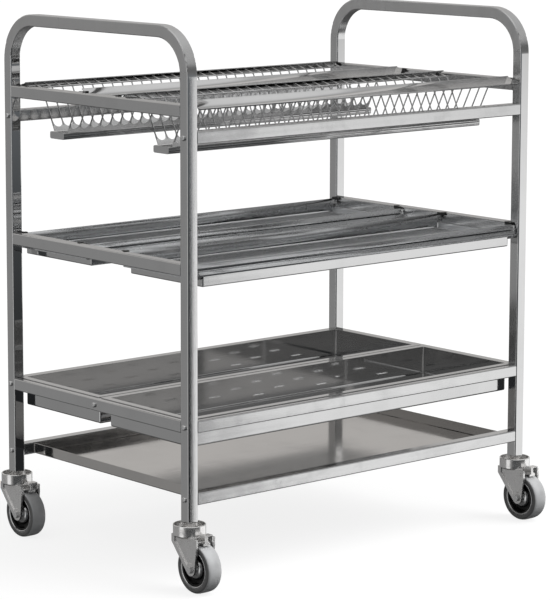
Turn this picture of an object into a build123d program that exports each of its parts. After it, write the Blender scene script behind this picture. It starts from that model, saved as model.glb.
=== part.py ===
from build123d import *

import os
from math import cos, hypot, sin, atan2

# Dish drying trolley. Sizes are in millimetres.
# X runs along the trolley, Y from front to rear and Z up from the floor.
# Pieces are drawn about the middle of the frame and moved back by depth_shift when saved,
# so that the origin lies on the floor under the middle of the whole trolley.

# Frame of square tube
frame_length = 950.0
frame_width = 610.0
frame_height = 1119.0
tube = 25.0
tube_wall = 1.5
tube_corner = 2.5
handle_bend = 84.5
leg_foot = 137.0
plug_depth = 20.0

# Heights of the upper faces of the crossbars and rails
top_bar = 967.0
top_rail = 915.0
middle_bar = 654.5
lower_bar = 341.5
shelf_rail = 196.0

# Bolts from the end faces into the rails
bolt_radius = 3.0
bolt_hole_room = 0.3
thread_room = 0.1
bolt_head_radius = 5.5
bolt_head_height = 4.0
bolt_head_round = 2.5
bolt_reach = 42.0

# Bottom shelf pan
shelf_inset = 26.0
shelf_floor = 171.5
shelf_rim = 194.0
shelf_sheet = 1.5

# Deep trays
tray_gap_to_end = 3.0
tray_gap_to_rail = 4.0
tray_floor = 282.5
tray_sheet = 1.2
tray_bend = 4.0
tray_lip = 14.0
drain_length = 34.0
drain_width = 9.0
drain_rows = 5
drain_row_pitch = 38.0
drain_pitch = 184.0
drain_count = 5
leg_notch_room = 2.0
seat_room = 0.3

# Plate racks
plate_rack_inset = 132.0
plate_rail_length = 876.0
plate_bead_radius = 2.5
plate_bead_out = 129.5
plate_bead_height = 957.5
plate_band_height = 969.0
plate_band_sheet = 1.2
plate_flange = 11.0
base_length = 872.0
base_width = 48.0
base_bottom = 860.0
base_top = 875.0
base_corner = 4.5
base_wall = 1.2
comb_foot_out = 21.5
comb_foot_height = 873.0
comb_head_out = 60.0
comb_head_height = 965.0
wire = 3.0
wire_sides = 6
wire_count = 33
wire_pitch = 26.5
web_floor = 11.0
web_sheet = 2.0
web_band = 14.0

# Cup racks
cup_length = 862.0
cup_depth = 261.0
cup_sheet = 1.2
cup_web_out = 17.0
cup_web_bottom = 620.0
cup_web_top = 655.0
cup_bead_radius = 2.5
cup_bead_heights = (630.0, 645.0)
cup_fin_rise = 8.0
floor_wire = 2.4
floor_pitch = 9.0
support_radius = 2.0
support_count = 3
support_end_room = 6.0

# Drip trays under the cup racks
drip_length = 860.0
drip_front = 11.0
drip_back = 240.0
drip_bottom = 605.0
drip_sheet = 0.8
drip_bend = 3.0
weld_room = 0.02

# End hooks of the racks
hook_width = 10.0
hook_sheet = 2.5
hook_drop = 10.0
hook_tongue = 10.0
hook_gap = 0.6

# Casters
wheel_radius = 50.0
trail = 31.5
axle_radius = 4.0
running_room = 0.05
tyre_half = 17.5
tyre_shoulder = 13.0
tyre_bevel = 1.5
rim_radius = 33.0
rim_half = 16.5
rim_ring = 2.0
rim_inside_slope = 2.0
hub_half = 18.0
hub_boss = 11.0
hub_step = 19.0
hub_step_half = 14.0
hub_web_half = 6.0
hub_draft = 1.5
fork_inside = 19.5
fork_sheet = 2.5
fork_flange = 2.5
fork_flange_width = 9.0
axle_boss = 13.0
plate_front = 50.0
plate_rear = 27.0
plate_bottom = 98.0
crown_radius = 33.0
crown_wall = 2.5
crown_bottom = 110.0
crown_top = 134.0
crown_floor = 3.0
crown_bend = 3.0
crown_lip = 1.0
crown_bridge = 36.0
bridge_lap = 4.0
bridge_bottom = 102.0
kingpin_radius = 8.0
kingpin_flange = 5.0
kingpin_flange_height = 4.5
kingpin_room = 1.5
race_rise = 4.0
race_height = 4.0
race_inset = 5.0
stem_radius = 6.0
stem_length = 29.0
pedal_pivot_out = 43.0
pedal_pivot_height = 104.0
pedal_pin_radius = 2.5
pedal_width = 21.0
pedal_back = 37.0
pedal_reach = 60.0
pedal_bottom = 101.0
pedal_tip_bottom = 106.0
pedal_back_top = 116.0
pedal_top = 121.0
pedal_crest = 45.0
pedal_wall = 2.0
shoe_front = 54.0
shoe_back = 47.0
shoe_bottom = 99.2
shoe_back_bottom = 100.4
axle_hex = 7.5
axle_head = 5.0
axle_nut = 6.5
axle_thread_out = 2.0

# Places that follow from the sizes above
half_length = frame_length / 2
half_width = frame_width / 2
leg_x = half_length - tube / 2
leg_y = half_width - tube / 2
inner_x = half_length - tube
inner_y = half_width - tube
tube_bore = tube - 2 * tube_wall
depth_shift = (trail + wheel_radius - crown_radius) / 2
rail_axes = (top_rail - tube / 2, lower_bar - tube / 2, shelf_rail - tube / 2)
low = (Align.CENTER, Align.CENTER, Align.MIN)
turn_to_x = Rot(Y=90)


def save(name, shape):
    export_step(Pos(0, depth_shift, 0) * shape, f"parts/{name}.step")


# Frame


def hoop():
    crest = frame_height - tube / 2
    bends = FilletPolyline(
        (-leg_y, leg_foot), (-leg_y, crest), (leg_y, crest), (leg_y, leg_foot), radius=handle_bend
    )
    path = Plane.YZ * bends
    start = Plane((0, -leg_y, leg_foot), z_dir=(0, 0, 1))
    skin = sweep(start * RectangleRounded(tube, tube, tube_corner), path=path)
    bore = sweep(start * Rectangle(tube_bore, tube_bore), path=path)
    frame = skin - bore
    for y in (-leg_y, leg_y):
        plug = Pos(0, y, leg_foot) * Box(tube_bore, tube_bore, plug_depth, align=low)
        plug -= Pos(0, y, leg_foot) * Cylinder(stem_radius + thread_room, plug_depth, align=low)
        frame += plug
        for z in rail_axes:
            frame -= Pos(0, y, z) * turn_to_x * Cylinder(bolt_radius + bolt_hole_room, 2 * tube)
    return frame


def crossbar(top):
    skin = extrude(Plane.XZ * RectangleRounded(tube, tube, tube_corner), inner_y, both=True)
    bar = skin - Box(tube_bore, 2 * inner_y, tube_bore)
    if top == lower_bar:
        bar -= turn_to_x * Cylinder(bolt_radius + bolt_hole_room, 2 * tube)
    return Pos(0, 0, top - tube / 2) * bar


def rail(y, top):
    skin = extrude(Plane.YZ * RectangleRounded(tube, tube, tube_corner), inner_x, both=True)
    hollow = Box(2 * (inner_x - plug_depth), tube_bore, tube_bore)
    thread = turn_to_x * Cylinder(bolt_radius + thread_room, 2 * inner_x)
    return Pos(0, y, top - tube / 2) * (skin - hollow - thread)


def bolt(side, y, z):
    head = Pos(bolt_head_height / 2, 0, 0) * turn_to_x * Cylinder(bolt_head_radius, bolt_head_height)
    head = fillet(head.faces().sort_by(Axis.X)[-1].edges(), bolt_head_round)
    shank = Pos(-bolt_reach / 2, 0, 0) * turn_to_x * Cylinder(bolt_radius, bolt_reach)
    turn = Rot(Z=0 if side > 0 else 180)
    return Pos(side * half_length, y, z) * turn * (head + shank)


def pan(length, width, depth, sheet, bend):
    outside = Box(length, width, depth, align=low)
    corners = outside.edges().filter_by(Axis.Z) + outside.faces().sort_by(Axis.Z)[0].edges()
    outside = fillet(corners, bend)
    inside = Pos(0, 0, sheet) * Box(length - 2 * sheet, width - 2 * sheet, depth, align=low)
    corners = inside.edges().filter_by(Axis.Z) + inside.faces().sort_by(Axis.Z)[0].edges()
    inside = fillet(corners, bend - sheet)
    return outside - inside


def make_frame():
    frame = hoop()
    bars = [crossbar(top) for top in (top_bar, middle_bar, lower_bar)]
    for name, side in (("left", -1), ("right", 1)):
        save(f"{name}_hoop", Pos(side * leg_x, 0, 0) * frame)
        save(f"{name}_crossbars", Pos(side * leg_x, 0, 0) * Compound(bars))
    for name, y in (("front", -leg_y), ("rear", leg_y)):
        save(f"{name}_top_rail", rail(y, top_rail))
        save(f"{name}_lower_rail", rail(y, lower_bar))
        save(f"{name}_shelf_rail", rail(y, shelf_rail))
    save("middle_lower_rail", rail(0, lower_bar))

    seats = [(y, z) for y in (-leg_y, leg_y) for z in rail_axes]
    seats.append((0, lower_bar - tube / 2))
    save("frame_bolts", Compound([bolt(side, y, z) for side in (-1, 1) for y, z in seats]))

    shelf_length = 2 * (inner_x - shelf_inset)
    shelf = pan(shelf_length, 2 * inner_y, shelf_rim - shelf_floor, shelf_sheet, 2 * shelf_sheet)
    save("bottom_shelf", Pos(0, 0, shelf_floor) * shelf)


# Deep trays, drawn for the front and mirrored for the rear


def deep_tray():
    length = 2 * (inner_x - tray_gap_to_end)
    front = -inner_y + tray_gap_to_rail
    back = -tube / 2 - tray_gap_to_rail
    width = back - front
    lip_bottom = lower_bar + seat_room
    lip_top = lip_bottom + tray_sheet
    middle = Pos(0, (front + back) / 2, 0)
    body = middle * Pos(0, 0, tray_floor) * pan(length, width, lip_top - tray_floor, tray_sheet, tray_bend)
    lip = RectangleRounded(length + 2 * tray_lip, width + 2 * tray_lip, tray_bend)
    lip -= RectangleRounded(length - 2 * tray_sheet, width - 2 * tray_sheet, tray_bend - tray_sheet)
    body += middle * Pos(0, 0, lip_bottom) * extrude(lip, tray_sheet)
    for side in (-1, 1):
        notch = tube + 2 * leg_notch_room
        body -= Pos(side * leg_x, -leg_y, lip_bottom) * Box(notch, notch, tray_sheet, align=low)
    drain = SlotOverall(drain_length, drain_width)
    drains = Sketch()
    for row in range(drain_rows):
        line = Pos(0, (row - (drain_rows - 1) / 2) * drain_row_pitch)
        drains += [line * place * drain for place in GridLocations(drain_pitch, 0, drain_count - row % 2, 1)]
    return body - middle * Pos(0, 0, tray_floor) * extrude(drains, tray_sheet)


# Plate racks, drawn about their own middle


def comb(side):
    span = (wire_count - 1) * wire_pitch
    height = hypot(comb_head_out - comb_foot_out, comb_head_height - comb_foot_height)
    lean = atan2(comb_head_out - comb_foot_out, comb_head_height - comb_foot_height)
    foot = (0, side * comb_foot_out, comb_foot_height)
    plane = Plane(foot, x_dir=(1, 0, 0), z_dir=(0, -cos(lean), side * sin(lean)))

    scallop = (wire_pitch - wire) / 2
    prong = web_floor + scallop
    between = GridLocations(wire_pitch, 0, wire_count - 1, 1)
    bays = [Pos(0, prong) * place * Circle(scallop) for place in between]
    band = Pos(0, web_band / 2) * Rectangle(span + wire, web_band) - bays
    strip = plane * extrude(band, web_sheet / 2, both=True) - plate_base_skin()
    tines = Pos(0, (web_band + prong) / 2) * Rectangle(span + wire, prong - web_band) - bays
    tines = plane * extrude(tines, web_sheet / 2, both=True)
    upright = extrude(Plane.XZ.offset(-prong) * RegularPolygon(wire / 2, wire_sides), prong - height)
    wires = [plane * place * upright for place in GridLocations(wire_pitch, 0, wire_count, 1)]
    return Compound([strip] + tines.solids() + wires)


def plate_top_rail(side):
    lean = atan2(comb_head_out - comb_foot_out, comb_head_height - comb_foot_height)
    clear = (wire + plate_band_sheet) / 2
    head_out = comb_head_out + clear * cos(lean)
    head_height = comb_head_height - clear * sin(lean)
    foot = (head_out - plate_flange * sin(lean), head_height - plate_flange * cos(lean))
    rise = plate_band_height - head_height
    crest = (head_out + rise * sin(lean) / cos(lean), plate_band_height)
    bead = (plate_bead_out, plate_bead_height)
    profile = trace(Polyline(foot, crest, bead), plate_band_sheet)
    profile += Pos(*bead) * Circle(plate_bead_radius)
    band = extrude(Plane.YZ * profile, plate_rail_length / 2, both=True)
    return band if side > 0 else mirror(band, about=Plane.XZ)


def plate_base_skin():
    height = base_top - base_bottom
    section = RectangleRounded(base_width, height, base_corner)
    return Pos(0, 0, base_bottom + height / 2) * extrude(Plane.YZ * section, base_length / 2, both=True)


def plate_base():
    height = base_top - base_bottom
    bore = RectangleRounded(base_width - 2 * base_wall, height - 2 * base_wall, base_corner - base_wall)
    hollow = extrude(Plane.YZ * bore, base_length / 2 - base_wall, both=True)
    return plate_base_skin() - Pos(0, 0, base_bottom + height / 2) * hollow


def plate_hooks():
    end = plate_rail_length / 2
    seat = top_bar + seat_room
    out = (plate_bead_out + comb_head_out) / 2
    body = Box(inner_x - hook_gap - end, hook_width, hook_drop + hook_sheet, align=Align.MIN)
    tongue = Box(inner_x + hook_tongue - end, hook_width, hook_sheet, align=Align.MIN)
    hook = Pos(end, out - hook_width / 2, seat - hook_drop) * body
    hook += Pos(end, out - hook_width / 2, seat) * tongue
    return four_ways(hook)


def four_ways(piece):
    pair = [piece, mirror(piece, about=Plane.XZ)]
    return Compound(pair + [mirror(one, about=Plane.YZ) for one in pair])


def make_plate_racks():
    pieces = [("base", plate_base()), ("hooks", plate_hooks())]
    for edge, side in (("front", -1), ("rear", 1)):
        pieces.append((f"{edge}_rail", plate_top_rail(side)))
        pieces.append((f"{edge}_comb", comb(side)))
    for rack, y in (("front", plate_rack_inset - half_width), ("rear", half_width - plate_rack_inset)):
        for name, piece in pieces:
            save(f"{rack}_plate_rack_{name}", Pos(0, y, 0) * piece)


# Cup racks, drawn with the outer edge of their front rail at y = 0


def cup_rail():
    crest = cup_web_out + cup_sheet / 2
    profile = trace(Polyline((crest, cup_web_bottom), (crest, cup_web_top)), cup_sheet)
    for height in cup_bead_heights:
        bead = (cup_bead_radius, height)
        profile += trace(Polyline(bead, (crest, height + cup_fin_rise)), cup_sheet)
        profile += Pos(*bead) * Circle(cup_bead_radius)
    return extrude(Plane.YZ * profile, cup_length / 2, both=True)


def wire_floor():
    web_inner = cup_web_out + cup_sheet
    width = cup_depth - 2 * web_inner
    count = int(cup_length / floor_pitch)
    length = count * floor_pitch + floor_wire
    gaps = GridLocations(floor_pitch, 0, count, 1)
    slot = Rectangle(floor_pitch - floor_wire, width - 2 * floor_wire)
    grid = extrude(Rectangle(length, width) - [place * slot for place in gaps], floor_wire)
    rod = turn_to_x * Cylinder(support_radius, length - 2 * support_end_room)
    step = width / (support_count + 1)
    rods = [place * Pos(0, 0, -support_radius) * rod for place in GridLocations(0, step, 1, support_count)]
    return Pos(0, cup_depth / 2, cup_web_bottom) * Compound([grid] + rods)


def cup_hooks():
    end = cup_length / 2
    seat = middle_bar + seat_room
    inner = tube + seat_room
    body = Box(inner_x - hook_gap - end, inner + hook_width, hook_drop + hook_sheet, align=Align.MIN)
    tongue = Box(inner_x + hook_tongue - end, hook_width, hook_sheet, align=Align.MIN)
    hook = Pos(end, cup_bead_radius, seat - hook_drop) * body
    hook += Pos(end, cup_bead_radius + inner, seat) * tongue
    return Pos(0, cup_depth / 2, 0) * four_ways(Pos(0, -cup_depth / 2, 0) * hook)


def drip_tray():
    width = drip_back - drip_front
    depth = cup_web_bottom - drip_bottom
    flat_length = drip_length - 2 * drip_bend
    flat_width = width - 2 * drip_bend
    tray = pan(drip_length, width, depth, drip_sheet, drip_bend)
    sheet = tray & Box(flat_length, flat_width, depth, align=low)
    cap = Pos((drip_length - drip_bend) / 2, 0, 0) * Box(drip_bend, width, depth, align=low)
    right_end = tray & cap
    left_end = mirror(right_end, about=Plane.YZ)
    edge = Box(flat_length, drip_bend, depth, align=low)
    front = tray & Pos(0, (drip_bend - width) / 2, 0) * edge
    back = tray & Pos(0, (width - drip_bend) / 2, 0) * edge

    middle = (drip_front + drip_back) / 2
    slope = cup_fin_rise / (cup_web_out + cup_sheet / 2 - cup_bead_radius)
    fin_under = cup_bead_heights[0] + slope * (drip_front - cup_bead_radius)
    fin_under -= cup_sheet / 2 * hypot(1, slope) + weld_room
    hanger = Box(flat_length, drip_sheet, fin_under - cup_web_bottom, align=low)
    front += Pos(0, (drip_sheet - width) / 2, depth) * hanger
    web_back = cup_depth - cup_web_out
    ledge = Box(flat_length, web_back - drip_back + drip_sheet, drip_sheet, align=low)
    back += Pos(0, (web_back + drip_back - drip_sheet) / 2 - middle, depth - drip_sheet) * ledge
    return Pos(0, middle, drip_bottom) * Compound([sheet, front, back, left_end, right_end])


def make_cup_racks():
    front_rail = cup_rail()
    rear_rail = Pos(0, cup_depth, 0) * mirror(front_rail, about=Plane.XZ)
    pieces = (
        ("cup_rack_rails", Compound([front_rail, rear_rail])),
        ("cup_rack_floor", wire_floor()),
        ("cup_rack_hooks", cup_hooks()),
        ("drip_tray", drip_tray()),
    )
    for name, piece in pieces:
        front = Pos(0, -half_width, 0) * piece
        save(f"front_{name}", front)
        save(f"rear_{name}", mirror(front, about=Plane.XZ))


# Casters, drawn with the swivel axis at x = 0, y = 0


def revolve_about_x(right_half):
    left_half = [(-x, r) for x, r in reversed(right_half)]
    return revolve(make_face(Polyline(*right_half, *left_half, close=True)), Axis.X)


def caster_stem():
    flange_top = crown_bottom - kingpin_room
    flange = kingpin_radius + kingpin_flange
    race = crown_bottom + crown_floor + race_rise
    race_radius = crown_radius - race_inset
    profile = Polyline(
        (0, flange_top - kingpin_flange_height),
        (flange, flange_top - kingpin_flange_height),
        (flange, flange_top),
        (kingpin_radius, flange_top),
        (kingpin_radius, race),
        (race_radius, race),
        (race_radius, race + race_height),
        (tube / 2, race + 2 * race_height),
        (tube / 2, leg_foot),
        (stem_radius, leg_foot),
        (stem_radius, leg_foot + stem_length),
        (0, leg_foot + stem_length),
        close=True,
    )
    return revolve(Plane.XZ * make_face(profile), Axis.Z)


def fork_outline(inset):
    boss = Pos(-trail, wheel_radius) * Circle(axle_boss)
    head_height = crown_bottom + crown_floor - plate_bottom
    head_middle = Pos((plate_rear - plate_front) / 2, plate_bottom + head_height / 2)
    head = head_middle * Rectangle(plate_front + plate_rear, head_height)
    outline = make_hull(boss.edges() + head.edges())
    if inset == 0:
        return outline
    open_top = head_middle * Rectangle(plate_front + plate_rear - 2 * inset, head_height)
    return offset(outline, -inset) + open_top - boss


def caster_fork():
    bore = crown_radius - crown_wall
    pin_bore = kingpin_radius + running_room
    crown = Polyline(
        (pin_bore, crown_bottom),
        (crown_radius - crown_bend, crown_bottom),
        (crown_radius, crown_bottom + crown_bend),
        (crown_radius, crown_top - crown_lip),
        (crown_radius - crown_lip, crown_top),
        (bore, crown_top),
        (bore, crown_bottom + crown_floor),
        (pin_bore, crown_bottom + crown_floor),
        close=True,
    )
    fork = revolve(Plane.XZ * make_face(crown), Axis.Z)
    outside = fork_inside + fork_sheet
    front_corner = (Align.CENTER, Align.MIN, Align.MIN)
    lap = Box(2 * outside, crown_bridge - bore + bridge_lap, crown_floor, align=front_corner)
    fork += Pos(0, -crown_bridge, crown_bottom) * lap
    skirt = Box(2 * outside, fork_sheet, crown_bottom - bridge_bottom, align=front_corner)
    fork += Pos(0, -crown_bridge, bridge_bottom) * skirt
    flange = fork_outline(0) - fork_outline(fork_flange_width)
    for side in (-1, 1):
        fork += extrude(Plane.YZ.offset(side * fork_inside) * fork_outline(0), side * fork_sheet)
        fork += extrude(Plane.YZ.offset(side * outside) * flange, side * fork_flange)
    fork -= Pos(0, -trail, wheel_radius) * turn_to_x * Cylinder(axle_radius + running_room, 4 * outside)
    pivot = Pos(0, -pedal_pivot_out, pedal_pivot_height)
    return fork - pivot * turn_to_x * Cylinder(pedal_pin_radius + running_room, 4 * outside)


def brake_pedal():
    cheek = Polyline(
        (-pedal_back, pedal_bottom),
        (-pedal_back, pedal_back_top),
        (-pedal_crest, pedal_top),
        (-pedal_reach, pedal_top),
        (-pedal_reach, pedal_tip_bottom),
        (-pedal_pivot_out, pedal_bottom),
        close=True,
    )
    channel = Polyline(
        (-pedal_back, shoe_bottom),
        (-pedal_back, pedal_back_top - pedal_wall),
        (-pedal_crest, pedal_top - pedal_wall),
        (-pedal_reach, pedal_top - pedal_wall),
        (-pedal_reach, shoe_bottom),
        close=True,
    )
    shoe = Polyline(
        (-shoe_back, shoe_back_bottom),
        (-shoe_back, pedal_top - pedal_wall),
        (-shoe_front, pedal_top - pedal_wall),
        (-shoe_front, shoe_bottom),
        close=True,
    )
    pedal = extrude(Plane.YZ * make_face(cheek), pedal_width / 2, both=True)
    pedal -= extrude(Plane.YZ * make_face(channel), pedal_width / 2 - pedal_wall, both=True)
    pedal += extrude(Plane.YZ * make_face(shoe), pedal_width / 2 - pedal_wall, both=True)
    pin = turn_to_x * Cylinder(pedal_pin_radius, 2 * (fork_inside + fork_sheet + fork_flange))
    return pedal + Pos(0, -pedal_pivot_out, pedal_pivot_height) * pin


def axle_bolt():
    seat = fork_inside + fork_sheet + fork_flange
    hexagon = Plane.YZ * RegularPolygon(axle_hex, 6)
    head = Pos(-seat - axle_head, 0, 0) * extrude(hexagon, axle_head)
    shank_length = 2 * seat + axle_nut + axle_thread_out
    shank = Pos(-seat + shank_length / 2, 0, 0) * turn_to_x * Cylinder(axle_radius, shank_length)
    nut = Pos(seat, 0, 0) * extrude(hexagon, axle_nut)
    nut -= turn_to_x * Cylinder(axle_radius, 4 * seat)
    return Compound([head + shank, nut])


def wheel_hub():
    profile = [
        (hub_half, axle_radius + running_room),
        (hub_half, hub_boss),
        (hub_step_half, hub_boss + hub_draft),
        (hub_step_half, hub_step),
        (hub_web_half, hub_step + hub_draft),
        (hub_web_half, rim_radius - rim_ring - rim_inside_slope),
        (rim_half, rim_radius - rim_ring),
        (rim_half, rim_radius),
    ]
    return revolve_about_x(profile)


def wheel_tyre():
    profile = [
        (tyre_half - tyre_bevel, rim_radius),
        (tyre_half, rim_radius + tyre_bevel),
        (tyre_half, wheel_radius - 2 * tyre_bevel),
        (tyre_half - tyre_bevel, wheel_radius - tyre_bevel / 2),
        (tyre_shoulder, wheel_radius),
    ]
    return revolve_about_x(profile)


def make_casters():
    axle = Pos(0, -trail, wheel_radius)
    pieces = (
        ("caster_stem", caster_stem()),
        ("caster_fork", caster_fork()),
        ("brake_pedal", brake_pedal()),
        ("axle_bolt", axle * axle_bolt()),
        ("wheel_hub", axle * wheel_hub()),
        ("tyre", axle * wheel_tyre()),
    )
    for end, y in (("front", -leg_y), ("rear", leg_y)):
        for hand, x in (("left", -leg_x), ("right", leg_x)):
            for name, piece in pieces:
                save(f"{end}_{hand}_{name}", Pos(x, y, 0) * piece)


os.makedirs("parts", exist_ok=True)
make_frame()
tray = deep_tray()
save("front_deep_tray", tray)
save("rear_deep_tray", mirror(tray, about=Plane.XZ))
make_plate_racks()
make_cup_racks()
make_casters()
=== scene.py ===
import math

import bmesh
import bpy
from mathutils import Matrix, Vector


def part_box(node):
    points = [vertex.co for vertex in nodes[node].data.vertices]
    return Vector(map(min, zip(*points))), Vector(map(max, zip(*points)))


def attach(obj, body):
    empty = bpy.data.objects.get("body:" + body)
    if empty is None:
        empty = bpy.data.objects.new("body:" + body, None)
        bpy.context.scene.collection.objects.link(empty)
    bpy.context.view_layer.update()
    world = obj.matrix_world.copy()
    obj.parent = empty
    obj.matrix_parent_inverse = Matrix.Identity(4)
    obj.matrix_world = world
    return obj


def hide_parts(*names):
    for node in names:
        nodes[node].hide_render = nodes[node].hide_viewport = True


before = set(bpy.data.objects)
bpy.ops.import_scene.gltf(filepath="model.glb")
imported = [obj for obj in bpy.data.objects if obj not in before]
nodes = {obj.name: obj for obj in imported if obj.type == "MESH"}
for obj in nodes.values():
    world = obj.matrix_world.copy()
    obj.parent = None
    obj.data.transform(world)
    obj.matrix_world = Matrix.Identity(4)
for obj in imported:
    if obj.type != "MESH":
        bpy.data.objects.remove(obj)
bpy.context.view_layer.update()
ends = ("front", "rear")
hands = ("left", "right")
casters = [f"{end}_{hand}" for end in ends for hand in hands]
print("frame loaded,", len(nodes), "nodes")


# small helpers for node trees

def addNode(tree, kind, inputs=None, **settings):
    node = tree.nodes.new(kind)
    for name, value in settings.items():
        setattr(node, name, value)
    for label, value in (inputs or {}).items():
        if isinstance(value, bpy.types.NodeSocket):
            tree.links.new(value, node.inputs[label])
        else:
            node.inputs[label].default_value = value
    return node


def calc(tree, operation, first, second=0.0):
    return addNode(tree, "ShaderNodeMath", {0: first, 1: second}, operation=operation).outputs[0]


def remap(tree, value, fromLow, fromHigh, toLow, toHigh, smooth=False):
    node = addNode(tree, "ShaderNodeMapRange", {
        "Value": value, "From Min": fromLow, "From Max": fromHigh, "To Min": toLow, "To Max": toHigh,
    })
    node.interpolation_type = "SMOOTHSTEP" if smooth else "LINEAR"
    return node.outputs["Result"]


def mixColor(tree, factor, first, second):
    node = addNode(tree, "ShaderNodeMix", data_type="RGBA")
    sockets = {"Factor_Float": factor, "A_Color": first, "B_Color": second}
    for socket in node.inputs:
        if socket.identifier in sockets:
            value = sockets[socket.identifier]
            if isinstance(value, bpy.types.NodeSocket):
                tree.links.new(value, socket)
            else:
                socket.default_value = value
    return next(out for out in node.outputs if out.identifier == "Result_Color")


def axesOf(tree, label):  # x, y and z of a texture coordinate
    place = addNode(tree, "ShaderNodeTexCoord").outputs[label]
    return addNode(tree, "ShaderNodeSeparateXYZ", {0: place}).outputs


def grey(level, warmth=0.0):
    return (level * (1 + warmth), level, level * (1 - warmth), 1.0)


def newGroup(name, inputs, outputs):
    tree = bpy.data.node_groups.new(name, "ShaderNodeTree")
    for label, kind, value in inputs:
        socket = tree.interface.new_socket(label, in_out="INPUT", socket_type=kind)
        socket.default_value = value
    for label, kind in outputs:
        tree.interface.new_socket(label, in_out="OUTPUT", socket_type=kind)
    return tree, tree.nodes.new("NodeGroupInput").outputs, tree.nodes.new("NodeGroupOutput").inputs


def placeGroup(tree, group, inputs=None):
    node = tree.nodes.new("ShaderNodeGroup")
    node.node_tree = group
    for label, value in (inputs or {}).items():
        node.inputs[label].default_value = value
    return node.outputs


# shared surface effects

def makeGrindLines():  # fine lines left by the polishing belt
    tree, given, out = newGroup(
        "grindLines",
        [("Stretch", "NodeSocketVector", (8.0, 900.0, 900.0))],
        [("Height", "NodeSocketFloat"), ("Streak", "NodeSocketFloat")],
    )
    place = addNode(tree, "ShaderNodeTexCoord").outputs["Object"]
    pulled = addNode(tree, "ShaderNodeVectorMath", {0: place, 1: given["Stretch"]}, operation="MULTIPLY")
    fine = addNode(tree, "ShaderNodeTexNoise", {
        "Vector": pulled.outputs[0], "Scale": 1.0, "Detail": 4.0, "Roughness": 0.7,
    })
    wide = addNode(tree, "ShaderNodeTexNoise", {"Vector": pulled.outputs[0], "Scale": 0.13, "Detail": 2.0})
    tree.links.new(fine.outputs[0], out["Height"])
    tree.links.new(wide.outputs[0], out["Streak"])
    return tree


def makeHandMarks():  # blurred patches where the steel was wiped and handled
    tree, given, out = newGroup(
        "handMarks",
        [("Size", "NodeSocketFloat", 12.0)],
        [("Mask", "NodeSocketFloat")],
    )
    place = addNode(tree, "ShaderNodeTexCoord").outputs["Object"]
    cloud = addNode(tree, "ShaderNodeTexNoise", {
        "Vector": place, "Scale": given["Size"], "Detail": 5.0, "Roughness": 0.6, "Distortion": 0.4,
    })
    patchEdge = (0.42, 0.7)  # noise levels between which a patch fades in
    tree.links.new(remap(tree, cloud.outputs[0], *patchEdge, 0.0, 1.0, True), out["Mask"])
    return tree


def makeSoftEdges():  # rounds sharp folds for the light and finds their edges
    tree, given, out = newGroup(
        "softEdges",
        [("Radius", "NodeSocketFloat", 0.0008)],
        [("Normal", "NodeSocketVector"), ("Edge", "NodeSocketFloat")],
    )
    bevel = addNode(tree, "ShaderNodeBevel", {"Radius": given["Radius"]}, samples=6)
    flat = addNode(tree, "ShaderNodeNewGeometry").outputs["Normal"]
    along = addNode(tree, "ShaderNodeVectorMath", {0: bevel.outputs[0], 1: flat}, operation="DOT_PRODUCT")
    tree.links.new(bevel.outputs[0], out["Normal"])
    edgeTurn = (0.995, 0.8)  # cosines of the turn from the flat normal to the rounded one
    tree.links.new(remap(tree, along.outputs["Value"], *edgeTurn, 0.0, 1.0), out["Edge"])
    return tree


grindLines = makeGrindLines()
handMarks = makeHandMarks()
softEdges = makeSoftEdges()
print("effects built")


# steel and zinc finishes

# wear of the steel, with the painted shade under the bands and in the hub's recess
steelWearAndShade = {
    "dim": 0.86, "bright": 1.15, "markShare": 0.3, "edgeShare": 0.35, "streakShare": 0.25,
    "streakRange": (0.3, 0.7), "brushShare": (0.7, 1.2),
    "frontFacing": (0.6, 0.9), "underShadeFacing": (-0.7, -0.9),
    "lineDepth": 0.0003, "underShadeRough": 0.6, "recessShadeTone": 0.015, "recessShadeEdge": 0.0006,
}


def newMaterial(name):
    material = bpy.data.materials.new(name)
    material.use_nodes = True
    tree = material.node_tree
    tree.nodes.clear()
    shader = tree.nodes.new("ShaderNodeBsdfPrincipled")
    out = tree.nodes.new("ShaderNodeOutputMaterial")
    tree.links.new(shader.outputs[0], out.inputs["Surface"])
    return material, tree, shader


def polishFaces(tree, rough, polish):  # the faces to the front and rear are polished brighter than the ends
    facing = calc(tree, "ABSOLUTE", axesOf(tree, "Normal")["Y"])
    front = remap(tree, facing, *steelWearAndShade["frontFacing"], 0.0, 1.0)
    unpolished = calc(tree, "MULTIPLY", rough, calc(tree, "SUBTRACT", 1.0, front))
    return calc(tree, "ADD", unpolished, calc(tree, "MULTIPLY", front, polish))


def brushBend(tree, rough, streak, bend):  # the bend was brushed again after bending
    smooth, dull = (share * bend["rough"] for share in steelWearAndShade["brushShare"])
    brushed = remap(tree, streak, *steelWearAndShade["streakRange"], smooth, dull)
    share = remap(tree, axesOf(tree, "Object")["Z"], bend["low"], bend["high"], 0.0, 1.0, True)
    return calc(tree, "ADD", rough, calc(tree, "MULTIPLY", share, brushed))


def paintRecessShade(tree, color, inner, outer):  # painted shade: a near-black ring between two radii, standing in for the shade in the hub's recess
    place = axesOf(tree, "Object")
    square = calc(tree, "ADD", calc(tree, "POWER", place["Y"], 2.0), calc(tree, "POWER", place["Z"], 2.0))
    radius = calc(tree, "SQRT", square)
    edge = steelWearAndShade["recessShadeEdge"]
    shadedRing = calc(tree, "MULTIPLY", remap(tree, radius, inner, inner + edge, 0.0, 1.0),
                   remap(tree, radius, outer - edge, outer, 1.0, 0.0))
    return mixColor(tree, shadedRing, color, grey(steelWearAndShade["recessShadeTone"]))


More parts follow.
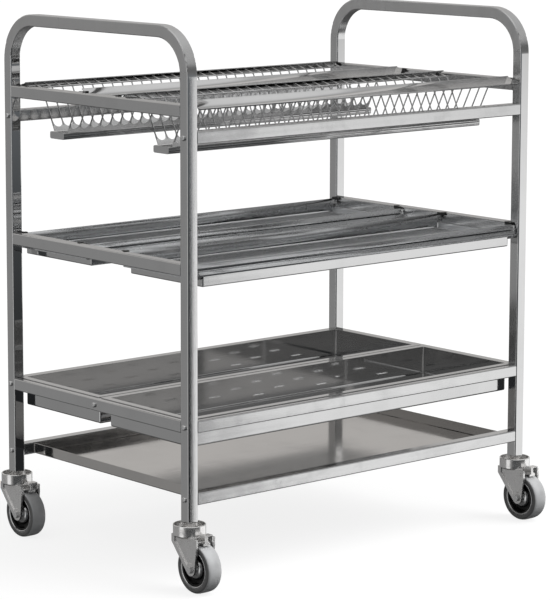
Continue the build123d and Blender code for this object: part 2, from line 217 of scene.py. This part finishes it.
def steelFinish(name, look):
    material, tree, shader = newMaterial(name)
    wearAndShade = steelWearAndShade
    lines = placeGroup(tree, grindLines, {"Stretch": look["stretch"]})
    marks = placeGroup(tree, handMarks, {"Size": look["markSize"]})
    edges = placeGroup(tree, softEdges, {"Radius": look["edgeRadius"]})
    clean, dim, bright = (
        grey(share * look["color"], look.get("warmth", 0.0)) for share in (1.0, wearAndShade["dim"], wearAndShade["bright"])
    )
    handled = mixColor(tree, calc(tree, "MULTIPLY", marks["Mask"], wearAndShade["markShare"]), clean, dim)
    color = mixColor(tree, calc(tree, "MULTIPLY", edges["Edge"], wearAndShade["edgeShare"]), handled, bright)
    smooth, dull = look["roughness"]
    swing = wearAndShade["streakShare"] * smooth
    rough = calc(tree, "ADD", remap(tree, marks["Mask"], 0.0, 1.0, smooth, dull),
                 remap(tree, lines["Streak"], *wearAndShade["streakRange"], -swing, swing))
    shader.inputs["Metallic"].default_value = look.get("metallic", 1.0)
    if "polished" in look:
        rough = polishFaces(tree, rough, look["polished"])
    if "satinBend" in look:
        rough = brushBend(tree, rough, lines["Streak"], look["satinBend"])
    if "underShadeTone" in look:  # painted shade: the underside is painted near black and dull, standing in for the shade under the band
        underShade = remap(tree, axesOf(tree, "Normal")["Z"], *wearAndShade["underShadeFacing"], 0.0, 1.0)
        color = mixColor(tree, underShade, color, grey(look["underShadeTone"]))
        rough = calc(tree, "ADD", rough, calc(tree, "MULTIPLY", underShade, wearAndShade["underShadeRough"]))
        tree.links.new(calc(tree, "SUBTRACT", 1.0, underShade), shader.inputs["Metallic"])
        shader.inputs["Specular IOR Level"].default_value = 0.0  # the painted shade has no gloss
    # painted shade in the hub's recess
    if "recessShade" in look:
        color = paintRecessShade(tree, color, *look["recessShade"])
    bump = addNode(tree, "ShaderNodeBump", {
        "Strength": look["grain"], "Distance": wearAndShade["lineDepth"],
        "Height": lines["Height"], "Normal": edges["Normal"],
    })
    tree.links.new(color, shader.inputs["Base Color"])
    tree.links.new(rough, shader.inputs["Roughness"])
    tree.links.new(bump.outputs[0], shader.inputs["Normal"])
    return material


alongX = (6.0, 800.0, 800.0)
alongY = (800.0, 6.0, 800.0)
alongZ = (800.0, 800.0, 6.0)
everyWay = (500.0, 500.0, 500.0)

finishes = {
    "hoopSteel": {
        "color": 0.70, "roughness": (0.14, 0.2), "stretch": alongZ, "grain": 0.003, "markSize": 7.0,
        "edgeRadius": 0.0006, "polished": 0.015, "satinBend": {"low": 1.015, "high": 1.05, "rough": 0.24},
    },
    "crossbarSteel": {
        "color": 0.70, "roughness": (0.1, 0.15), "stretch": alongY, "grain": 0.03, "markSize": 9.0,
        "edgeRadius": 0.0006,
    },
    "railSteel": {
        "color": 0.70, "roughness": (0.11, 0.16), "stretch": alongX, "grain": 0.04, "markSize": 14.0,
        "edgeRadius": 0.0006,
    },
    "sheetSteel": {
        "color": 0.68, "roughness": (0.1, 0.15), "stretch": alongX, "grain": 0.03, "markSize": 6.0,
        "edgeRadius": 0.0008, "warmth": 0.03,
    },
    "traySteel": {
        "color": 0.68, "roughness": (0.07, 0.1), "stretch": alongX, "grain": 0.02, "markSize": 6.0,
        "edgeRadius": 0.0008,
    },
    # the band's underside tone is painted shade
    "bandSteel": {
        "color": 0.70, "roughness": (0.08, 0.12), "stretch": alongX, "grain": 0.03, "markSize": 16.0,
        "edgeRadius": 0.0005, "underShadeTone": 0.012,
    },
    "cupRailSteel": {
        "color": 0.72, "roughness": (0.24, 0.32), "stretch": alongX, "grain": 0.03, "markSize": 16.0,
        "edgeRadius": 0.0005, "warmth": -0.015,
    },
    "wireSteel": {
        "color": 0.80, "roughness": (0.14, 0.2), "stretch": everyWay, "grain": 0.02, "markSize": 30.0,
        "edgeRadius": 0.0003,
    },
    "floorWireSteel": {
        "color": 0.86, "roughness": (0.12, 0.18), "stretch": everyWay, "grain": 0.02, "markSize": 30.0,
        "edgeRadius": 0.0003, "metallic": 0.65, "warmth": -0.01,
    },
    "boltSteel": {
        "color": 0.78, "roughness": (0.15, 0.22), "stretch": everyWay, "grain": 0.04, "markSize": 60.0,
        "edgeRadius": 0.0006, "metallic": 0.75,
    },
    "casterZinc": {
        "color": 0.86, "roughness": (0.12, 0.34), "stretch": everyWay, "grain": 0.22, "markSize": 60.0,
        "edgeRadius": 0.001, "warmth": 0.01, "metallic": 0.85,
    },
    # the recess ring is painted shade
    "hubAlloy": {
        "color": 0.66, "roughness": (0.15, 0.25), "stretch": everyWay, "grain": 0.06, "markSize": 40.0,
        "edgeRadius": 0.0006, "metallic": 0.8, "recessShade": (0.0195, 0.0358),
    },
}
steels = {name: steelFinish(name, look) for name, look in finishes.items()}


# moulded finishes

def mouldedFinish(name, look):
    material, tree, shader = newMaterial(name)
    marks = placeGroup(tree, handMarks, {"Size": look["markSize"]})
    edges = placeGroup(tree, softEdges, {"Radius": look["edgeRadius"]})
    place = addNode(tree, "ShaderNodeTexCoord").outputs["Object"]
    pits = addNode(tree, "ShaderNodeTexNoise", {"Vector": place, "Scale": look["pitScale"], "Detail": 3.0})
    color = mixColor(tree, marks["Mask"], look["color"], look["worn"])
    if "side" in look:  # painted shade: the sides of a tyre are painted darker than its tread, standing in for the shade on them
        sideways = calc(tree, "ABSOLUTE", axesOf(tree, "Normal")["X"])
        color = mixColor(tree, remap(tree, sideways, *look["sideShadeFacing"], 0.0, 1.0), color, look["side"])
    color = mixColor(tree, calc(tree, "MULTIPLY", edges["Edge"], look["edgeWear"]), color, look["worn"])
    smooth, dull = look["roughness"]
    bump = addNode(tree, "ShaderNodeBump", {
        "Strength": look["pits"], "Distance": look["pitDepth"],
        "Height": pits.outputs[0], "Normal": edges["Normal"],
    })
    tree.links.new(color, shader.inputs["Base Color"])
    tree.links.new(remap(tree, marks["Mask"], 0.0, 1.0, smooth, dull), shader.inputs["Roughness"])
    tree.links.new(bump.outputs[0], shader.inputs["Normal"])
    return material


hookPlastic = mouldedFinish("hookPlastic", {
    "color": grey(0.012), "worn": grey(0.03), "roughness": (0.32, 0.5), "markSize": 60.0,
    "edgeRadius": 0.0008, "edgeWear": 0.4, "pitScale": 2500.0, "pits": 0.15, "pitDepth": 0.0004,
})
# the side tone is painted shade on the tyre's sides
tyreRubber = mouldedFinish("tyreRubber", {
    "color": grey(0.44, -0.01), "worn": grey(0.38, -0.01), "side": grey(0.10), "sideShadeFacing": (0.55, 0.9),
    "roughness": (0.3, 0.45), "markSize": 30.0,
    "edgeRadius": 0.0012, "edgeWear": 0.3, "pitScale": 1800.0, "pits": 0.1, "pitDepth": 0.0004,
})
print("finishes built,", len(steels) + 2)


# finishes on the frame's own nodes

def dress(material, *names):
    for name in names:
        slots = nodes[name].data.materials
        slots.clear()
        slots.append(material)


dress(steels["hoopSteel"], "left_hoop", "right_hoop")
dress(steels["crossbarSteel"], "left_crossbars", "right_crossbars")
frameRails = ("_top_rail", "_lower_rail", "_shelf_rail")
dress(steels["railSteel"], *[name for name in nodes if name.endswith(frameRails)])
dress(steels["sheetSteel"], "bottom_shelf")
dress(steels["boltSteel"], "frame_bolts")
for end in ends:
    plateRack, cupRack = f"{end}_plate_rack", f"{end}_cup_rack"
    dress(steels["traySteel"], f"{end}_deep_tray", f"{end}_drip_tray")
    dress(steels["bandSteel"], f"{plateRack}_base", f"{plateRack}_front_rail", f"{plateRack}_rear_rail")
    dress(steels["bandSteel"], f"{cupRack}_rails")
    dress(steels["wireSteel"], f"{cupRack}_floor", f"{plateRack}_front_comb", f"{plateRack}_rear_comb")
    dress(hookPlastic, f"{plateRack}_hooks", f"{cupRack}_hooks")
for caster in casters:
    dress(steels["casterZinc"], f"{caster}_caster_stem", f"{caster}_caster_fork", f"{caster}_brake_pedal")
    dress(steels["boltSteel"], f"{caster}_axle_bolt")
    dress(steels["hubAlloy"], f"{caster}_wheel_hub")
    dress(tyreRubber, f"{caster}_tyre")
print("nodes dressed")


# mesh helpers

rollStepCount = 12  # to a rolled edge
extrudedFold, turnedFold = 40.0, 32.0  # folds above these, in degrees, stay sharp
millimetre = 0.001


def addRing(mesh, centre, across, other, radius, sides):
    ring = []
    for step in range(sides):
        turn = 2 * math.pi * step / sides
        ring.append(mesh.verts.new(centre + radius * (math.cos(turn) * across + math.sin(turn) * other)))
    return ring


def joinRings(mesh, first, second):
    faces = []
    for step in range(len(first)):
        after = (step + 1) % len(first)
        face = mesh.faces.new((first[step], first[after], second[after], second[step]))
        face.smooth = True
        faces.append(face)
    return faces


def addTube(mesh, start, finish, radius, sides):
    start, finish = Vector(start), Vector(finish)
    along = (finish - start).normalized()
    across = along.orthogonal().normalized()
    other = along.cross(across)
    rings = [addRing(mesh, centre, across, other, radius, sides) for centre in (start, finish)]
    joinRings(mesh, *rings)
    mesh.faces.new(reversed(rings[0]))
    mesh.faces.new(rings[1])


def addBentWire(mesh, points, radius, sides):  # a path that keeps to one x
    count = len(points)
    across = Vector((1, 0, 0))
    previous = None
    for index, centre in enumerate(points):
        along = (points[min(index + 1, count - 1)] - points[max(index - 1, 0)]).normalized()
        ring = addRing(mesh, centre, across, along.cross(across), radius, sides)
        if previous:
            joinRings(mesh, previous, ring)
        else:
            mesh.faces.new(reversed(ring))
        previous = ring
    mesh.faces.new(previous)


def addExtrusion(mesh, outline, fromX, toX):  # closed outline of (y, z)
    rings = [[mesh.verts.new((x, y, z)) for y, z in outline] for x in (fromX, toX)]
    sides = joinRings(mesh, *rings)
    mesh.faces.new(reversed(rings[0]))
    mesh.faces.new(rings[1])
    for face in sides:
        for edge in face.edges:
            edge.smooth = edge.calc_face_angle(0.0) < math.radians(extrudedFold)


def finOutline(root, rootRadius, bead, beadRadius, half):  # a flat band, rolled where there's a radius
    along = (bead - root).normalized()
    up = Vector((-along.y, along.x))

    def roll(centre, radius, start, finish):
        turns = [start + (finish - start) * step / rollStepCount for step in range(rollStepCount + 1)]
        return [centre + radius * (math.cos(turn) * along + math.sin(turn) * up) for turn in turns]

    gap = math.asin(half / beadRadius)
    outline = roll(bead, beadRadius, math.pi - gap, gap - math.pi)
    if rootRadius:
        gap = math.asin(half / rootRadius)
        return outline + roll(root, rootRadius, -gap, gap - 2 * math.pi)
    return outline + [root - half * up, root + half * up]


def addBox(mesh, low, high):
    spans = list(zip(low, high))
    corners = [mesh.verts.new((x, y, z)) for x in spans[0] for y in spans[1] for z in spans[2]]
    for face in ((0, 1, 3, 2), (4, 6, 7, 5), (0, 4, 5, 1), (2, 3, 7, 6), (0, 2, 6, 4), (1, 5, 7, 3)):
        mesh.faces.new([corners[index] for index in face])


def addLathe(mesh, profile, stepCount):  # profile of (x, radius) in millimetres, turned about the x axis
    rings = []
    for step in range(stepCount):
        turn = 2 * math.pi * step / stepCount
        up, out = millimetre * math.cos(turn), millimetre * math.sin(turn)
        rings.append([mesh.verts.new((millimetre * x, radius * up, radius * out)) for x, radius in profile])
    for step in range(stepCount):
        joinRings(mesh, rings[step], rings[(step + 1) % stepCount])
    for edge in mesh.edges:
        edge.smooth = edge.calc_face_angle(0.0) < math.radians(turnedFold)


def newPiece(name, mesh, material, body, node, place=(0, 0, 0)):
    bmesh.ops.recalc_face_normals(mesh, faces=mesh.faces)
    data = bpy.data.meshes.new(name)
    mesh.to_mesh(data)
    mesh.free()
    data.materials.append(material)
    piece = bpy.data.objects.new(name, data)
    piece.location = place
    bpy.context.scene.collection.objects.link(piece)
    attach(piece, body)
    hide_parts(node)


def middleOf(node):  # along the y axis
    low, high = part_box(node)
    return (low.y + high.y) / 2


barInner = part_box("right_crossbars")[0].x  # the crossbars' inner faces stand this far out on both sides


# plate rack combs: a scalloped strip on the base, a bent wire from each prong and a rod inside the knees

combShape = {
    "wire": 0.003, "count": 33, "pitch": 0.0265, "wireSides": 10,
    "strip": 0.002, "stripFloor": 0.011, "sunk": 0.0012, "bayStepCount": 12,
    "cap": ((-1, 0.8), (-0.6, 0.2), (0, 0), (0.6, 0.2), (1, 0.8)),  # across and down, in half strips
    "footOut": 0.0215, "footHeight": 0.873, "kneeOut": 0.0665, "kneeHeight": 0.9615,
    "headOut": 0.0975, "headHeight": 0.9691, "bend": 0.003, "bendStepCount": 4,
    "rootShare": 0.6, "rodGap": 1.01,
}
scallop = (combShape["pitch"] - combShape["wire"]) / 2
prongHeight = combShape["stripFloor"] + scallop
combEnd = (combShape["count"] - 1) / 2 * combShape["pitch"] + combShape["wire"] / 2


def scallopOutline():  # (x, height of the strip) from left to right
    shape = combShape
    outline = [(-combEnd, prongHeight)]
    for bay in range(shape["count"] - 1):
        centre = (bay - shape["count"] / 2 + 1) * shape["pitch"]
        for step in range(shape["bayStepCount"] + 1):
            turn = math.pi * (step / shape["bayStepCount"] - 0.5)
            outline.append((centre + scallop * math.sin(turn), prongHeight - scallop * math.cos(turn)))
    return outline + [(combEnd, prongHeight)]


def addScallops(mesh, foot, rise):
    half, sunk = combShape["strip"] / 2, combShape["sunk"]
    through = Vector((1, 0, 0)).cross(rise)
    previous = None
    for x, top in scallopOutline():
        cap = [(across * half, top - down * half) for across, down in combShape["cap"]]
        section = [(-half, -sunk)] + cap + [(half, -sunk)]
        start = foot + Vector((x, 0, 0))
        ring = [mesh.verts.new(start + up * rise + out * through) for out, up in section]
        if previous:
            for step, face in enumerate(joinRings(mesh, previous, ring)):
                face.smooth = 0 < step < len(ring) - 2  # only the rounded top
        else:
            mesh.faces.new(ring)
        previous = ring
    mesh.faces.new(reversed(previous))


def wirePath(foot, knee, head):  # up the comb, round the knee and on to the rail's crest, where it is welded
    rise, tip = (knee - foot).normalized(), (head - knee).normalized()
    path = [foot + combShape["rootShare"] * prongHeight * rise]
    bendStart, bendEnd = knee - combShape["bend"] * rise, knee + combShape["bend"] * tip
    for step in range(combShape["bendStepCount"] + 1):
        part = step / combShape["bendStepCount"]
        path.append((1 - part) ** 2 * bendStart + 2 * part * (1 - part) * knee + part ** 2 * bendEnd)
    return path + [head]


def makeComb(end, edge, side):
    shape = combShape
    middle = middleOf(f"{end}_plate_rack_base")
    foot, knee, head = (
        Vector((0, middle + side * shape[f"{spot}Out"], shape[f"{spot}Height"]))
        for spot in ("foot", "knee", "head")
    )
    rise = (knee - foot).normalized()
    radius = shape["wire"] / 2
    mesh = bmesh.new()
    addScallops(mesh, foot, rise)
    path = wirePath(foot, knee, head)
    for index in range(shape["count"]):
        shift = Vector(((index - (shape["count"] - 1) / 2) * shape["pitch"], 0, 0))
        addBentWire(mesh, [point + shift for point in path], radius, shape["wireSides"])
    inward = Vector((0, -side * rise.z, side * rise.y))
    rod = knee + shape["rodGap"] * shape["wire"] * inward
    reach = Vector((combEnd, 0, 0))
    addTube(mesh, rod - reach, rod + reach, radius, shape["wireSides"])
    name, node = f"{end}Rack{edge.title()}Comb", f"{end}_plate_rack_{edge}_comb"
    newPiece(name, mesh, steels["wireSteel"], f"{end}_plate_rack", node)


# plate rack rails: a sloping band with a rolled crest on the wire heads and a bead on the outer edge

railShape = {
    "crest": Vector((0.0985, 0.9718)), "crestRadius": 0.0012,
    "bead": Vector((0.1295, 0.9575)), "beadRadius": 0.0018,
    "half": 0.0006, "room": 0.006,
}


def makePlateRail(end, edge, side):
    shape = railShape
    middle = middleOf(f"{end}_plate_rack_base")
    reach = barInner - shape["room"]
    outline = finOutline(
        shape["crest"], shape["crestRadius"], shape["bead"], shape["beadRadius"], shape["half"],
    )
    mesh = bmesh.new()
    addExtrusion(mesh, [(middle + side * out, height) for out, height in outline], -reach, reach)
    name, node = f"{end}Rack{edge.title()}Rail", f"{end}_plate_rack_{edge}_rail"
    newPiece(name, mesh, steels["bandSteel"], f"{end}_plate_rack", node)


# plate rack bases: a flat box with two grooves along each side

baseShape = {
    "round": 0.0035, "roundShare": 0.3,
    "groove": 0.0009, "grooveShare": 0.7, "grooveHeights": (0.0045, 0.0095),
}


def makePlateBase(end):
    shape = baseShape
    node = f"{end}_plate_rack_base"
    low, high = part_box(node)
    middle = (low.y + high.y) / 2
    half = (high.y - low.y) / 2
    corner, inset = shape["round"], shape["roundShare"] * shape["round"]
    depth, lip = shape["groove"], shape["grooveShare"] * shape["groove"]
    side = [(half - corner, low.z), (half - inset, low.z + inset), (half, low.z + corner)]
    for height in shape["grooveHeights"]:
        level = low.z + height
        side += [(half, level - lip), (half - depth, level), (half, level + lip)]
    side += [(half, high.z - corner), (half - inset, high.z - inset), (half - corner, high.z)]
    outline = [(middle + y, z) for y, z in side] + [(middle - y, z) for y, z in reversed(side)]
    mesh = bmesh.new()
    addExtrusion(mesh, outline, low.x, high.x)
    newPiece(f"{end}RackBase", mesh, steels["bandSteel"], f"{end}_plate_rack", node)


for end in ends:
    makePlateBase(end)
    for edge, side in (("front", -1), ("rear", 1)):
        makeComb(end, edge, side)
        makePlateRail(end, edge, side)
print("plate racks built")


# cup rack rails: a web with two beaded fins, the lower one reaching further out

cupShape = {
    "web": (0.0170, 0.0182), "webTop": 0.0312, "room": 0.006,
    "lowFin": (0.0025, 0.010), "lowCrest": (0.0073, 0.0183),
    "highFin": (0.0105, 0.0222), "highCrest": (0.0153, 0.0305),
    "beadRadius": 0.0025, "half": 0.0006, "flatLap": 0.0005, "flatBelow": 0.0008, "flatAbove": 0.0004,
}


def makeCupRails(end):
    shape = cupShape
    node = f"{end}_cup_rack_rails"
    low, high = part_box(node)
    reach = barInner - shape["room"]
    near, far = shape["web"]
    outlines = [[(near, 0), (far, 0), (far, shape["webTop"]), (near, shape["webTop"])]]
    for fin in ("low", "high"):
        bead, crest = Vector(shape[f"{fin}Fin"]), Vector(shape[f"{fin}Crest"])
        outlines.append(finOutline(crest, None, bead, shape["beadRadius"], shape["half"]))
        out = crest.x - shape["flatLap"]  # a flat joins the crest to the web
        bottom, top = crest.y - shape["flatBelow"], crest.y + shape["flatAbove"]
        outlines.append([(out, bottom), (near, bottom), (near, top), (out, top)])
    mesh = bmesh.new()
    for edge, side in ((low.y, 1), (high.y, -1)):
        for outline in outlines:
            addExtrusion(mesh, [(edge + side * out, low.z + rise) for out, rise in outline], -reach, reach)
    newPiece(f"{end}CupRails", mesh, steels["cupRailSteel"], f"{end}_cup_rack", node)


# hooks at the rack ends: a block on the end of each rail and a thin tongue on the crossbar

hookShape = {
    "plate": {
        "out": (0.1155, 0.1215), "tongueOut": (0.1155, 0.1215), "drop": 0.0065,
        "cap": 0.002, "legRoom": 0.0175,
    },
    "cup": {"out": (0.0165, 0.0360), "tongueOut": (0.0285, 0.0360), "drop": 0.0060, "cap": 0, "legRoom": 0},
    "seatRise": 0.010, "start": 0.0062, "gap": 0.0006, "tongue": 0.0055, "sheet": 0.001,
}


def makeHooks(end, kind, middle, reach):
    shape = hookShape
    cut = shape[kind]
    node = f"{end}_{kind}_rack_hooks"
    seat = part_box(node)[0].z + shape["seatRise"]  # the crossbar's upper face, with room
    mesh = bmesh.new()
    for hand in (-1, 1):
        for side in (-1, 1):
            clear = cut["legRoom"] if side * middle < 0 else 0  # a hook beside a leg sits further in
            for span, foot, top, finish in (
                (cut["out"], seat - cut["drop"], seat + cut["cap"], barInner - shape["gap"]),
                (cut["tongueOut"], seat, seat + shape["sheet"], barInner + shape["tongue"]),
            ):
                xs = sorted((hand * (barInner - shape["start"]), hand * finish))
                ys = sorted(middle + side * (reach - out + clear) for out in span)
                addBox(mesh, (xs[0], ys[0], foot), (xs[1], ys[1], top))
    newPiece(f"{end}{kind.title()}Hooks", mesh, hookPlastic, f"{end}_{kind}_rack", node)


for end in ends:
    railLow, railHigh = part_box(f"{end}_cup_rack_rails")
    makeCupRails(end)
    makeHooks(end, "plate", middleOf(f"{end}_plate_rack_base"), 0.0)
    makeHooks(end, "cup", (railLow.y + railHigh.y) / 2, (railHigh.y - railLow.y) / 2)
print("cup rack rails and hooks built")


# cup rack floors: close round wires on three rods, with a flat strip and a low wall at each end

floorShape = {
    "wire": 0.0024, "pitch": 0.009, "rod": 0.004, "rodCount": 3, "rodRoom": 0.006, "sides": 10,
    "endRod": 0.0044, "endRise": 0.0011, "endStrip": 0.0012, "stripRoom": 0.004, "endTop": 0.0105,
}


def makeCupFloor(end):
    shape = floorShape
    node = f"{end}_cup_rack_floor"
    low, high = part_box(node)
    radius = shape["wire"] / 2
    level = high.z - radius
    count = round((high.x - low.x - shape["wire"]) / shape["pitch"]) + 1
    mesh = bmesh.new()
    for index in range(count):
        x = low.x + radius + index * shape["pitch"]
        addTube(mesh, (x, low.y, level), (x, high.y, level), radius, shape["sides"])
    edgeRadius = shape["endRod"] / 2
    edgeLevel = level + shape["endRise"]
    for y in (low.y + edgeRadius, high.y - edgeRadius):
        addTube(mesh, (low.x, y, edgeLevel), (high.x, y, edgeLevel), edgeRadius, shape["sides"])
    reach, sheet = barInner - shape["stripRoom"], shape["endStrip"]
    for hand, inner in ((-1, low.x + shape["wire"]), (1, high.x - shape["wire"])):
        stripX = sorted((inner, hand * reach))
        wallX = sorted((hand * (reach - sheet), hand * reach))
        addBox(mesh, (stripX[0], low.y, level - sheet), (stripX[1], high.y, level))
        addBox(mesh, (wallX[0], low.y, level), (wallX[1], high.y, level + shape["endTop"]))
    rodRadius = shape["rod"] / 2
    under = level - radius - rodRadius
    for index in range(shape["rodCount"]):
        y = low.y + (index + 1) * (high.y - low.y) / (shape["rodCount"] + 1)
        start, finish = (low.x + shape["rodRoom"], y, under), (high.x - shape["rodRoom"], y, under)
        addTube(mesh, start, finish, rodRadius, shape["sides"])
    newPiece(f"{end}CupFloor", mesh, steels["floorWireSteel"], f"{end}_cup_rack", node)


for end in ends:
    makeCupFloor(end)
print("cup rack floors built")


# wheels: rounded tyres on turned hubs, drawn as half profiles of (x, radius) in millimetres

wheelShape = {
    "tyre": [
        (0, 49.98), (10, 49.9), (14.2, 49.3), (16.2, 48.2), (17.2, 46.6), (17.5, 44.8), (17.4, 39.4),
        (16.6, 38.5), (15.9, 38.2), (15.9, 33.1),
    ],
    "hub": [
        (18, 4.1), (18, 10.2), (17.4, 11), (14.6, 11.8), (14, 12.6), (14, 18.2), (13.4, 18.9),
        (6.7, 20.3), (6, 21.2), (6, 28.4), (6.6, 29.2), (15, 31.4), (16, 32.2), (16.2, 35.6),
        (16.9, 36.2), (17.2, 37), (16.9, 37.8), (15.95, 38.1), (15.95, 33),
    ],
    "stepCount": 64,
}


def makeWheel(caster):
    low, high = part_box(f"{caster}_tyre")
    centre = (low + high) / 2
    for kind, node, material, slot in (
        ("tyre", f"{caster}_tyre", tyreRubber, "tyre_rubber"),
        ("hub", f"{caster}_wheel_hub", steels["hubAlloy"], "wheel_hub"),
    ):
        half = wheelShape[kind]
        mesh = bmesh.new()
        addLathe(mesh, half + [(-x, radius) for x, radius in reversed(half) if x], wheelShape["stepCount"])
        newPiece(f"{caster}_{kind}Turned", mesh, material, f"{caster}_wheel", node, place=centre)


for caster in casters:
    makeWheel(caster)
print("wheels built")


# studio floor: white to the camera, and left out of the metal's reflections

floorStage = {"size": 60.0, "sideCount": 64, "tone": 0.15, "glow": 0.84}


def makeFloor():
    stage = floorStage
    mesh = bmesh.new()
    bmesh.ops.create_circle(mesh, cap_ends=True, segments=stage["sideCount"], radius=stage["size"] / 2)
    data = bpy.data.meshes.new("studioFloor")
    mesh.to_mesh(data)
    mesh.free()
    floor = bpy.data.objects.new("studioFloor", data)
    bpy.context.scene.collection.objects.link(floor)
    floor.visible_glossy = False
    floor.visible_diffuse = False
    material, tree, shader = newMaterial("studioFloor")
    shader.inputs["Base Color"].default_value = grey(stage["tone"])
    shader.inputs["Roughness"].default_value = 1.0
    shader.inputs["Specular IOR Level"].default_value = 0.0
    shader.inputs["Emission Color"].default_value = grey(1.0)
    seen = addNode(tree, "ShaderNodeLightPath").outputs["Is Camera Ray"]
    tree.links.new(calc(tree, "MULTIPLY", seen, stage["glow"]), shader.inputs["Emission Strength"])
    data.materials.append(material)


# studio room: soft bright and dark fields for the metal to mirror
# turns are degrees round from the front to the right, lifts are degrees above the horizon, tones go by lift

panelEdge = 39.35
roomTones = {
    -90: 0.10, -40: 0.07, -30: 0.08, -26: 0.13, -19: 0.28, -3: 0.29, 1: 0.17, 6: 0.15,
    14: 0.17, 24: 0.07, 34: 0.06, 42: 0.45, 58: 0.75, 90: 0.8,
}
rearField = {
    "turn": 160.0, "spread": (0.35, 0.7), "lift": (-2.0, 38.0), "liftSoft": (3.0, 8.0),
    "tones": {0: 0.38, 8: 0.40, 13: 0.52, 23: 0.6, 38: 0.6}, "warmth": 0.02,
}
roomFields = {
    "dark": {
        "turn": (-68.0, panelEdge), "turnSoft": (12.0, 0.02),
        "lift": (-50.0, 2.0), "liftSoft": (8.0, 4.0),
        "tones": {-30: 0.04, -14: 0.02, -11.6: 0.025, -8.5: 0.06, -3.5: 0.2}, "warmth": -0.06,
    },
    "low": {
        "turn": (20.0, 58.6), "turnSoft": (6.0, 0.8),
        "lift": (-50.0, -34.0), "liftSoft": (3.0, 3.0), "tone": 0.75,
    },
    "above": {
        "turn": (30.0, 112.0), "turnSoft": (8.0, 10.0),
        "lift": (16.0, 46.0), "liftSoft": (4.0, 6.0), "tone": 0.5,
    },
    "strip": {
        "turn": (-112.0, -82.0), "turnSoft": (4.0, 4.0),
        "lift": (-24.0, 50.0), "liftSoft": (6.0, 10.0), "tone": 0.9,
    },
    "panel": {
        "turn": (panelEdge, 108.0), "turnSoft": (0.02, 14.0),
        "lift": (-20.0, -3.0), "liftSoft": (3.0, 5.0), "tone": 1.0,
    },
}


def toneRamp(tree, lift, tones, warmth=0.0):
    node = addNode(tree, "ShaderNodeValToRGB", {0: remap(tree, lift, -90.0, 90.0, 0.0, 1.0)})
    stops = node.color_ramp.elements
    while len(stops) < len(tones):
        stops.new(0.5)
    for stop, (height, tone) in zip(stops, sorted(tones.items())):
        stop.position = (height + 90) / 180
        stop.color = grey(tone, warmth)
    return node.outputs[0]


def band(tree, value, low, high, softLow, softHigh):
    rising = remap(tree, value, low - softLow, low + softLow, 0.0, 1.0, True)
    falling = remap(tree, value, high - softHigh, high + softHigh, 1.0, 0.0, True)
    return calc(tree, "MULTIPLY", rising, falling)


def makeRoom():
    world = bpy.data.worlds.new("studio")
    bpy.context.scene.world = world
    world.use_nodes = True
    tree = world.node_tree
    tree.nodes.clear()
    direction = axesOf(tree, "Generated")
    flatTurn = calc(tree, "ARCTAN2", direction["X"], calc(tree, "MULTIPLY", direction["Y"], -1.0))
    turn = calc(tree, "MULTIPLY", flatTurn, 180 / math.pi)
    lift = calc(tree, "MULTIPLY", calc(tree, "ARCSINE", direction["Z"]), 180 / math.pi)

    away = calc(tree, "COSINE", calc(tree, "SUBTRACT", flatTurn, math.radians(rearField["turn"])))
    rear = calc(tree, "MULTIPLY", remap(tree, away, *rearField["spread"], 0.0, 1.0, True),
                band(tree, lift, *rearField["lift"], *rearField["liftSoft"]))
    rearTone = toneRamp(tree, lift, rearField["tones"], rearField["warmth"])
    tone = mixColor(tree, rear, toneRamp(tree, lift, roomTones), rearTone)
    for field in roomFields.values():
        share = calc(tree, "MULTIPLY", band(tree, turn, *field["turn"], *field["turnSoft"]),
                     band(tree, lift, *field["lift"], *field["liftSoft"]))
        if "tones" in field:
            fieldTone = toneRamp(tree, lift, field["tones"], field["warmth"])
        else:
            fieldTone = grey(field["tone"])
        tone = mixColor(tree, share, tone, fieldTone)
    seen = addNode(tree, "ShaderNodeLightPath").outputs["Is Camera Ray"]
    tone = mixColor(tree, seen, tone, grey(1.0))  # white past the floor's edge
    back = addNode(tree, "ShaderNodeBackground", {"Color": tone, "Strength": 1.0})
    out = tree.nodes.new("ShaderNodeOutputWorld")
    tree.links.new(back.outputs[0], out.inputs["Surface"])


# lamps: two wide suns that the metal doesn't mirror

lamps = {
    "keyLamp": {"from": (2.0, -1.8, 2.4), "spread": 50.0, "power": 3.6},
    "fillLamp": {"from": (-2.0, -1.6, 3.0), "spread": 70.0, "power": 0.4},
}


def makeLamps():
    for name, lamp in lamps.items():
        data = bpy.data.lights.new(name, "SUN")
        data.angle = math.radians(lamp["spread"])
        data.energy = lamp["power"]
        item = bpy.data.objects.new(name, data)
        item.location = lamp["from"]
        item.rotation_euler = (-item.location).to_track_quat("-Z", "Y").to_euler()
        item.visible_glossy = False
        bpy.context.scene.collection.objects.link(item)


makeFloor()
makeRoom()
makeLamps()
print("studio set")


# camera at the photograph's viewing angle

photoView = {
    "place": (-3.772, -4.3166, 1.461), "heading": 40.12, "dip": 8.36, "shift": (0.077, -0.092),
    "focalPixels": 2705.0, "longSidePixels": 600.0, "sensor": 36.0, "farClip": 200.0,
}


def makeCamera():
    view = photoView
    data = bpy.data.cameras.new("photoCamera")
    data.sensor_width = view["sensor"]
    data.lens = view["focalPixels"] * view["sensor"] / view["longSidePixels"]
    data.shift_x, data.shift_y = view["shift"]
    data.clip_end = view["farClip"]
    camera = bpy.data.objects.new("photoCamera", data)
    camera.location = view["place"]
    camera.rotation_euler = (math.radians(90 - view["dip"]), 0, -math.radians(view["heading"]))
    bpy.context.scene.collection.objects.link(camera)
    bpy.context.scene.camera = camera


makeCamera()
bpy.context.scene.view_settings.view_transform = "Standard"
print("camera set")
